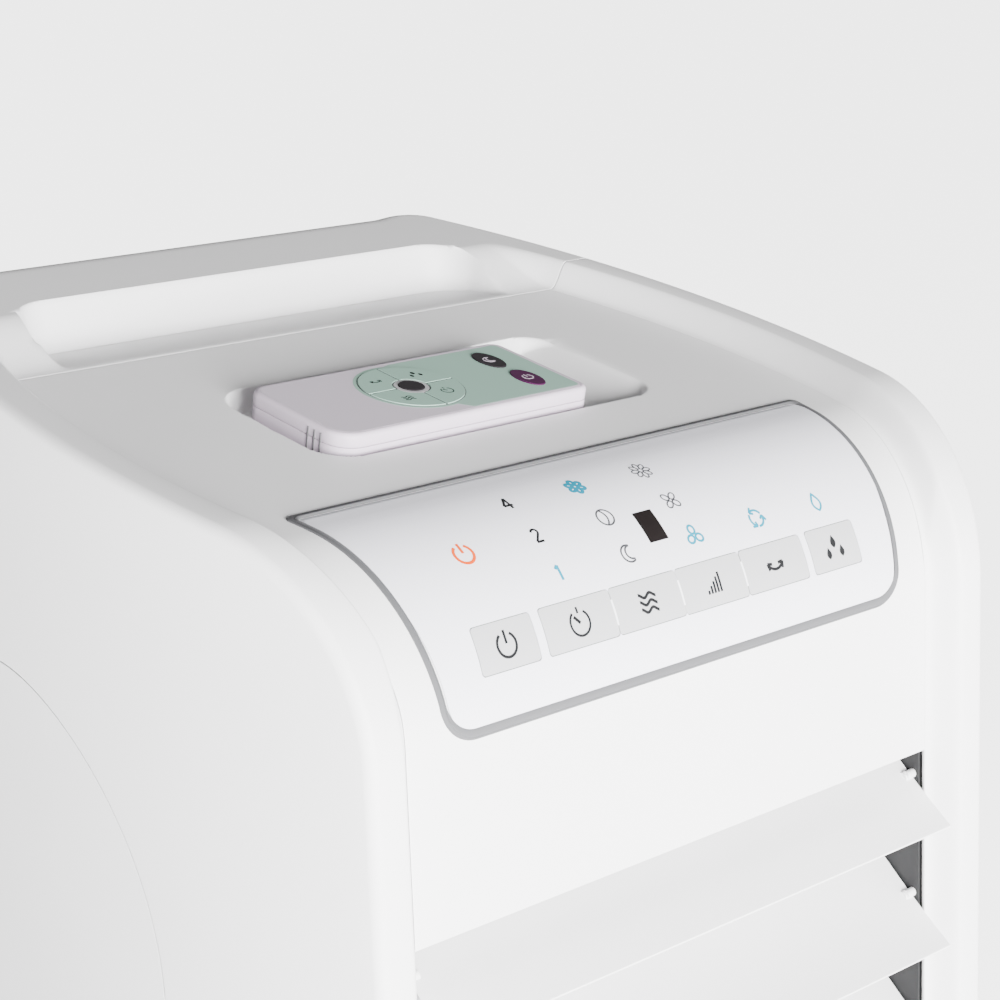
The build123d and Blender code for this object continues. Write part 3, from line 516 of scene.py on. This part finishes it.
def panel_loop(side_inset, top_inset, bottom_inset, corner=PANEL_CORNER):
    """Outline of the panel, moved inwards, as places (x, t) round a closed loop."""
    low, high = PANEL_START + bottom_inset, PANEL_END - top_inset
    radius, small = max(corner - side_inset, 1.0), 3.0
    quarter = np.radians(np.linspace(-90, 0, 13))
    low_x = panel_half(low + radius, side_inset) - radius
    high_x = panel_half(high - small, side_inset) - small
    corner_x, corner_t = low_x + radius * np.cos(quarter), low + radius + radius * np.sin(quarter)
    side_t = np.linspace(low + radius, high - small, 32)[1:-1]
    top_quarter = np.radians(np.linspace(0, 90, 7))
    top_x, top_t = high_x + small * np.cos(top_quarter), high - small + small * np.sin(top_quarter)
    right_x = np.concatenate([corner_x, panel_half(side_t, side_inset), top_x])
    right_t = np.concatenate([corner_t, side_t, top_t])
    bottom = np.linspace(-low_x, low_x, 26)[1:-1]
    top = np.linspace(high_x, -high_x, 26)[1:-1]
    x = np.concatenate([right_x, top, -right_x[::-1], bottom])
    t = np.concatenate([right_t, np.full(24, high), right_t[::-1], np.full(24, low)])
    return x, t


def panel_ring(name, section, material, stands_for=()):
    """A frame round the panel from a section of (side inset, top inset, bottom inset, d) corners."""
    loops = [front(*panel_loop(side, top, bottom), d) for side, top, bottom, d in section]
    points = np.stack(loops + loops[:1])
    piece(name, points, grid_faces(*points.shape[:2], wrap=True), material, stands_for=stands_for)


def build_panel_frame():
    # painted shade: the dark outer ring stands for the shade in the gap round the panel
    panel_ring(
        "panel_gap_shade",
        [(0, 0, 0, -1.2), (0, 0, 0, 0.35), (0.25, 0.25, 0.2, 0.62), (1.9, 2.3, 1.0, 0.72),
         (2.1, 2.6, 1.2, 0.3), (2.1, 2.6, 1.2, -1.2)],
        INK["dark"], ["control_panel_bezel"],
    )
    panel_ring(
        "panel_lip",
        [(1.9, 2.4, 1.1, -0.9), (1.9, 2.4, 1.1, 0.7), (2.1, 2.5, 1.5, 1.05), (2.5, 2.8, 3.6, 1.0),
         (2.8, 3.1, 4.3, 0.66), (2.8, 3.1, 4.3, -0.9)],
        FINISHES["bezel_gray"],
    )


# ---- printed marks: strips between two curves, standing just off the surface ----

def arc(x, y, radius, start, end, count=22):
    angle = np.radians(np.linspace(start, end, count))
    return np.stack([x + radius * np.cos(angle), y + radius * np.sin(angle)], 1)


def stroke(path, width, closed=False):
    """A strip of even width along a path."""
    path = np.asarray(path, float)
    if closed:
        heading = np.roll(path, -1, 0) - np.roll(path, 1, 0)
    else:
        heading = np.gradient(path, axis=0)
    heading /= np.linalg.norm(heading, axis=1)[:, None]
    normal = np.stack([-heading[:, 1], heading[:, 0]], 1) * width / 2
    return path + normal, path - normal, closed


def line(x0, y0, x1, y1, width):
    return stroke(np.linspace((x0, y0), (x1, y1), 3), width)


def drop_curve(x, y, size, count=12):
    """Right-hand edge of a water drop, from its tip down."""
    s = np.linspace(0, 1, count)
    width = size * 0.82 * np.sin(np.pi * s) ** 0.9 * (0.35 + 0.65 * s)
    return np.stack([x + width, y + size * (1 - 2 * s)], 1)


def drop(x, y, size):
    right = drop_curve(x, y, size)
    left = right * (-1, 1) + (2 * x, 0)
    return left, right, False


def petals(count, inner, outer, width, turn=90.0, fat=0.34):
    strips = []
    for index in range(count):
        angle = math.radians(turn + index * 360 / count)
        loop = arc(0, 0, 1, 0, 345, 16)
        length = (outer - inner) / 2
        x = (inner + outer) / 2 + loop[:, 0] * length
        y = loop[:, 1] * fat * outer
        turned_x = x * math.cos(angle) - y * math.sin(angle)
        turned_y = x * math.sin(angle) + y * math.cos(angle)
        strips.append(stroke(np.stack([turned_x, turned_y], 1), width, closed=True))
    return strips


def power_mark(size, width):
    return [stroke(arc(0, 0, size, 122, 418), width), line(0, 0.1 * size, 0, 1.2 * size, width)]


def timer_mark(size, width):
    return [stroke(arc(0, 0, size, -235, 55), width), line(0.1, -0.1, -0.5 * size, 0.55 * size, width * 1.3),
            line(0, size * 1.25, 0, size * 0.75, width)]


def wave_mark(size, width):
    s = np.linspace(-1, 1, 31)
    height = 0.17 * size * np.sin(s * 4.7)
    return [stroke(np.stack([s * size, height + row * size * 0.62], 1), width) for row in (-1, 0, 1)]


def bars_mark(size, width):
    return [
        line(x * size, -0.9 * size, x * size, (-0.9 + 0.36 * (index + 1)) * size, width)
        for index, x in enumerate(np.linspace(-0.8, 0.8, 5))
    ]


def swing_mark(size, width):
    strips = [stroke(arc(0, size * 0.75, size * 1.15, 208, 332), width)]
    for side in (-1, 1):
        tip = (side * 1.02 * size, 0.2 * size)
        strips.append(line(*tip, tip[0] + side * -0.15 * size, tip[1] - 0.62 * size, width))
        strips.append(line(*tip, tip[0] - side * 0.62 * size, tip[1] - 0.08 * size, width))
    return strips


def drops_mark(size):
    places = ((0, 0.5, 0.55), (-0.8, -0.4, 0.5), (0.8, -0.4, 0.5))
    return [drop(x * size, y * size, reach * size) for x, y, reach in places]


def coin_mark(size, width):
    edge = stroke(arc(0, 0, size, 0, 345), width, closed=True)
    return [edge, stroke(arc(-size, 0, size * 1.2, -52, 52), width)]


def moon_mark(size, width):
    outer = arc(0, 0, size, 62, 300, 24)
    inner = arc(0.42 * size, 0.1 * size, size * 0.78, 285, 78, 24)
    return [stroke(np.concatenate([outer, inner[1:-1]]), width, closed=True)]


def cycle_mark(size, width):
    strips = []
    for turn in (0, 120, 240):
        strips.append(stroke(arc(0, 0, size, turn + 25, turn + 115), width))
        tip = arc(0, 0, size, turn + 132, turn + 132, 1)[0]
        for off in (-0.42, 0.42):
            root = arc(0, 0, size * (1 + off), turn + 100, turn + 100, 1)[0]
            strips.append(line(*root, *tip, width))
    return strips


def drop_mark(size, width):
    right = drop_curve(0, 0, size)
    left = (right * (-1, 1))[::-1][1:-1]
    return [stroke(np.concatenate([right, left]), width, closed=True)]


def digit_mark(digit, size, width):
    one = [line(0, -size, 0, size, width), line(-0.45 * size, 0.55 * size, 0, size, width)]
    two = [stroke(arc(0, 0.45 * size, 0.5 * size, 165, -25, 14), width),
           line(0.45 * size, 0.25 * size, -0.5 * size, -0.95 * size, width),
           line(-0.55 * size, -size, 0.6 * size, -size, width)]
    four = [line(0.3 * size, -size, 0.3 * size, size, width),
            line(0.3 * size, size, -0.6 * size, -0.4 * size, width),
            line(-0.65 * size, -0.4 * size, 0.7 * size, -0.4 * size, width)]
    return {1: one, 2: two, 4: four}[digit]


def print_marks(name, strips, place, x, y, low, high, material, body="casing"):
    """Raised print: every strip is a thin closed solid, set at (x, y) on a surface."""
    points, faces, count = [], [], 0
    for a, b, closed in strips:
        size = len(a)
        for edge in (a, b):
            for level in (high, low):
                points.append(place(x + edge[:, 0], y + edge[:, 1], level))
        corners = [count, count + 2 * size, count + 3 * size, count + size]
        step = np.arange(size if closed else size - 1)
        after = (step + 1) % size
        for first, second in zip(corners, corners[1:] + corners[:1]):
            faces.extend(np.stack([first + step, second + step, second + after, first + after], 1).tolist())
        if not closed:
            faces.append(corners)
            faces.append([c + size - 1 for c in reversed(corners)])
        count += 4 * size
    piece(name, np.concatenate(points), faces, material, body)


def build_panel_marks():
    rows = LAMP_ROWS
    columns = [(index - 2.5) * LAMP_PITCH for index in range(6)]
    lamps = (
        ("power_lamp", power_mark(4.3, 1.25), "orange", columns[0], rows[1]),
        ("timer_lamp_4", digit_mark(4, 3.3, 1.1), "black", columns[1], rows[2]),
        ("timer_lamp_2", digit_mark(2, 3.1, 1.0), "black", columns[1], rows[1]),
        ("timer_lamp_1", digit_mark(1, 3.1, 1.2), "cyan", columns[1], rows[0]),
        ("cooling_lamp", petals(6, 1.2, 4.2, 1.5, 30, 0.26), "cyan", columns[2], rows[2]),
        ("economy_lamp", coin_mark(3.9, 0.75), "gray", columns[2], rows[1]),
        ("sleep_lamp", moon_mark(3.6, 0.8), "gray", columns[2], rows[0]),
        ("fan_high_lamp", petals(8, 1.1, 4.9, 0.55, 0, 0.22), "gray", columns[3], rows[2]),
        ("fan_middle_lamp", petals(4, 0.7, 4.5, 0.62, 45, 0.3), "gray", columns[3], rows[1]),
        ("fan_low_lamp", petals(3, 0.7, 4.5, 1.0, 90, 0.36), "cyan", columns[3], rows[0]),
        ("swing_lamp", cycle_mark(3.6, 1.0), "cyan", columns[4], rows[0]),
        ("dry_lamp", drop_mark(4.0, 1.0), "cyan", columns[5], rows[0]),
    )
    for name, strips, ink, x, t in lamps:
        print_marks(name, strips, front, x, t, LENS_D - 0.1, LENS_D + 0.08, INK[ink])
    window_t = np.linspace(49.3, 63.4, 9)
    window = (np.stack([np.full(9, -5.1), window_t], 1), np.stack([np.full(9, 5.1), window_t], 1), False)
    print_marks("display_window", [window], front, 0, 0, LENS_D - 0.2, LENS_D + 0.1,
                INK["glass"])


KEYS = (
    ("power_key", -107.4, -78.3, power_mark(4.6, 1.15)),
    ("timer_key", -73.6, -37.0, timer_mark(4.9, 1.0)),
    ("mode_key", -36.7, -0.1, wave_mark(4.6, 1.25)),
    ("fan_speed_key", 0.0, 36.6, bars_mark(4.4, 1.15)),
    ("swing_key", 37.0, 73.4, swing_mark(4.4, 1.25)),
    ("dehumidify_key", 77.4, 106.8, drops_mark(5.0)),
)


def build_keys():
    rows = spaced(KEY_LOW, 0.25, KEY_LOW + 1.5, 1.5, KEY_HIGH - 1.5, 0.25, KEY_HIGH)
    corner = np.minimum(np.minimum(rows - KEY_LOW, KEY_HIGH - rows), 1.5)
    draw_in = round_off(corner, 1.5)
    for name, x0, x1, strips in KEYS:
        left = np.stack([x0 + draw_in, rows], 1)
        right = np.stack([x1 - draw_in, rows], 1)
        body = f"{name}_tile"
        print_marks(f"{name}_cap", [(left, right, False)], front, 0, 0, -1.0, LENS_D,
                    FINISHES["key_gray"], body)
        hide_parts(name)
        print_marks(f"{name}_mark", strips, front, (x0 + x1) / 2, KEY_ROW, LENS_D - 0.1, LENS_D + 0.07,
                    INK["black"], body)
    for index, x in enumerate((-DIVIDER_PITCH, 0, DIVIDER_PITCH)):
        strip = line(x, KEY_ROW - DIVIDER_HALF, x, KEY_ROW + DIVIDER_HALF, 0.9)
        print_marks(f"key_divider_{index + 1}", [strip], front, 0, 0, -0.8, LENS_D + 0.05,
                    INK["white"])


# ---- remote control ----

def rounded_loop(inset):
    """Closed outline of the remote control, with its own radius at each corner, moved inwards."""
    left, right, near, far = REMOTE
    left, right, near, far = left + inset, right - inset, near + inset, far - inset
    places = (
        (left, near, 1, 1, 180), (right, near, -1, 1, 270),
        (right, far, -1, -1, 0), (left, far, 1, -1, 90),
    )
    path = []
    for (x, v, inward_x, inward_v, start), radius in zip(places, REMOTE_CORNERS):
        radius = max(radius - inset, 0.6)
        path.append(arc(x + inward_x * radius, v + inward_v * radius, radius, start, start + 90, 9))
    return np.concatenate(path)


def remote_shell(name, section, stands_for):
    """A closed half of the remote control from (inset, w) levels round its outline, with flat ends."""
    loops = [rounded_loop(inset) for inset, _ in section]
    points = np.stack([on_slope(loop[:, 0], loop[:, 1], w) for loop, (_, w) in zip(loops, section)])
    rows, columns = points.shape[:2]
    faces = grid_faces(rows, columns, wrap=True).tolist()
    faces.append(list(range(columns)))
    faces.append([(rows - 1) * columns + i for i in range(columns)])
    piece(name, points, faces, FINISHES["remote_lilac"], "remote", stands_for=stands_for)


def edge_rounding(radius, top):
    """Levels (inset, w) of a quarter round that ends at the top."""
    angle = np.radians(np.linspace(0, 90, 6))
    return [(radius * (1 - math.cos(a)), top - radius + radius * math.sin(a)) for a in angle]


def plate(name, outline, low, high, material, body, stands_for=(), soften=0.0):
    """A flat plate on the remote's face from any closed outline."""
    levels = [(0, low), (0, high - soften)] + ([(soften, high)] if soften else [(0, high)])
    centre = outline.mean(0)
    reach = np.linalg.norm(outline - centre, axis=1).mean()
    rings = []
    for inset, w in levels:
        loop = centre + (outline - centre) * (1 - inset / reach)
        rings.append(on_slope(loop[:, 0], loop[:, 1], w))
    points = np.stack(rings)
    rows, columns = points.shape[:2]
    faces = grid_faces(rows, columns, wrap=True).tolist()
    faces += [list(range(columns)), [(rows - 1) * columns + i for i in range(columns)]]
    piece(name, points, faces, material, body, stands_for=stands_for)


def build_remote():
    top = REMOTE_TOP
    remote_shell(
        "remote_upper", [(0.6, REMOTE_SPLIT + 0.1), (0.12, REMOTE_SPLIT + 0.25), (0, REMOTE_SPLIT + 0.7)]
        + edge_rounding(2.0, top) + [(2.3, top), (2.45, top - 0.12)],
        ["remote_upper_shell"],
    )
    remote_shell(
        "remote_lower", [(0.6, REMOTE_SPLIT), (0.12, REMOTE_SPLIT - 0.15), (0, REMOTE_SPLIT - 0.6)]
        + [(inset, 2 * REMOTE_BASE - w) for inset, w in edge_rounding(2.5, REMOTE_BASE)],
        ["remote_lower_shell"],
    )
    # painted shade: the grooves on the remote's left side are not cut; thin dark strips there stand for the
    # shade in them
    for index, v in enumerate((64.5, 68.5, 72.5)):
        groove = arc(REMOTE[0] + 0.1, v, 0.42, 0, 330, 10)
        plate(f"remote_groove_shade_{index + 1}", groove, REMOTE_SPLIT - 6.5, top - 2.2, INK["dark"], "remote")

    film = rounded_loop(2.6)
    plate("remote_film", film, top - 0.2, top + 0.02, INK["rim"], "remote")
    rim = rounded_loop(3.6)
    right = rim[(rim[:, 0] > 0)]
    near, far = rim[:, 1].min(), rim[:, 1].max()
    reach = 24.5
    turn = math.degrees(math.asin((far - RING_V) / (reach + 2)))
    bulge = arc(RING_X, RING_V, reach, turn, 360 - turn, 34)
    outline = np.concatenate([[(RING_X + 9, far)], bulge[1:-1], [(RING_X + 9, near)], right])
    plate("remote_face", outline, top - 0.1, top + 0.06, FINISHES["remote_mint"], "remote")
    # painted shade: a thin dark disc under the ring keys shows in the slits round and between them and
    # stands for the shade there
    shade_ring = arc(RING_X, RING_V, RING_RADIUS + 0.5, 0, 353, 52)
    plate("remote_ring_gap_shade", shade_ring, top, top + 0.1, INK["dark"], "remote")
    quarter_marks = {
        "remote_dry_key": (0, drops_mark(2.9)), "remote_swing_key": (1, swing_mark(2.6, 0.55)),
        "remote_fan_key": (2, wave_mark(2.5, 0.55)), "remote_timer_key": (3, timer_mark(2.7, 0.5)),
    }
    for name, (quarter, strips) in quarter_marks.items():
        start = quarter * 90
        outer = arc(RING_X, RING_V, RING_RADIUS, start + 1.3, start + 88.7, 18)
        inner = arc(RING_X, RING_V, 8.2, start + 86.5, start + 3.5, 10)
        plate(f"{name}_pad", np.concatenate([outer, inner]), top, top + 0.42,
              FINISHES["remote_mint"], f"{name}_cap",
              [name], soften=0.1)
        x, v = arc(RING_X, RING_V, 15.0, start + 45, start + 45, 1)[0]
        print_marks(f"{name}_mark", strips, on_slope, x, v, top + 0.4, top + 0.48,
                    INK["black"], f"{name}_cap")
    centre_rim = arc(RING_X, RING_V, 7.5, 0, 350, 40)
    plate("remote_centre_rim", centre_rim, top, top + 0.3, FINISHES["key_gray"], "remote")
    centre_pad = arc(RING_X, RING_V, 5.8, 0, 350, 36)
    plate("remote_centre_pad", centre_pad, top, top + 0.75, FINISHES["remote_dark_key"],
          "remote_centre_key_cap", ["remote_centre_key"], soften=0.35)
    ovals = (
        ("remote_sleep_key", 34.0, 95.0, "remote_dark_key", moon_mark(2.7, 0.5)),
        ("remote_power_key", 34.8, 71.2, "remote_purple_key", power_mark(2.4, 0.5)),
    )
    for name, x, v, skin, strips in ovals:
        oval = arc(0, 0, 1, 0, 351, 40) * OVAL_KEY + (x, v)
        plate(f"{name}_pad", oval, top, top + 0.6, FINISHES[skin], f"{name}_cap", [name], soften=0.25)
        print_marks(f"{name}_mark", strips, on_slope, x, v, top + 0.5, top + 0.66, FINISHES["remote_lilac"],
                    f"{name}_cap")


# ---- light, floor and camera ----

EYE = (-674.1, -799.4, 864.1)              # camera place, from the frame's origin
AZIMUTH, PITCH, ROLL = -42.37, 12.95, 2.20
LENS = 88.76


def area_light(name, place, target, size, power):
    """A square light, in metres and watts, turned towards its target."""
    lamp = bpy.data.lights.new(name, "AREA")
    lamp.energy, lamp.size = power, size
    made = bpy.data.objects.new(name, lamp)
    bpy.context.scene.collection.objects.link(made)
    made.location = place
    heading = np.array(target) - np.array(place)
    made.rotation_euler = (
        math.atan2(math.hypot(heading[0], heading[1]), -heading[2]), 0, math.atan2(-heading[0], heading[1])
    )


def build_stage():
    mesh = bpy.data.meshes.new("floor")
    reach = 60.0
    corners = [(-reach, -reach, 0), (reach, -reach, 0), (reach, reach, 0), (-reach, reach, 0)]
    mesh.from_pydata(corners, [], [(0, 1, 2, 3)])
    floor = bpy.data.objects.new("floor", mesh)
    bpy.context.scene.collection.objects.link(floor)
    white = finish("floor_white", (0.9, 0.9, 0.9), 0.9, relief=0.0002, grain=60, mottle=0.01, glow=4.2)
    mesh.materials.append(white)

    world = bpy.data.worlds.new("studio")
    world.use_nodes = True
    background = world.node_tree.nodes["Background"]
    background.inputs["Color"].default_value = (1, 1, 1, 1)
    background.inputs["Strength"].default_value = 0.28
    bpy.context.scene.world = world
    area_light("key_light", (-0.7, -3.0, 0.5), (0, -0.1, 0.55), 1.6, 620)

    camera = bpy.data.cameras.new("camera")
    eye = bpy.data.objects.new("camera", camera)
    bpy.context.scene.collection.objects.link(eye)
    bpy.context.scene.camera = eye
    camera.sensor_width = 36
    camera.lens = LENS
    camera.clip_end = 200
    eye.location = np.array(EYE) * MM
    level = Euler((math.radians(90 - PITCH), 0, math.radians(AZIMUTH))).to_matrix()
    eye.rotation_euler = (level @ Matrix.Rotation(math.radians(-ROLL), 3, "Z")).to_euler()


build_front_cover()
build_side_panel("left_side_panel", -1)
build_side_panel("right_side_panel", 1)
build_rear_top()
build_panel_frame()
build_panel_marks()
build_keys()
build_remote()
build_stage()
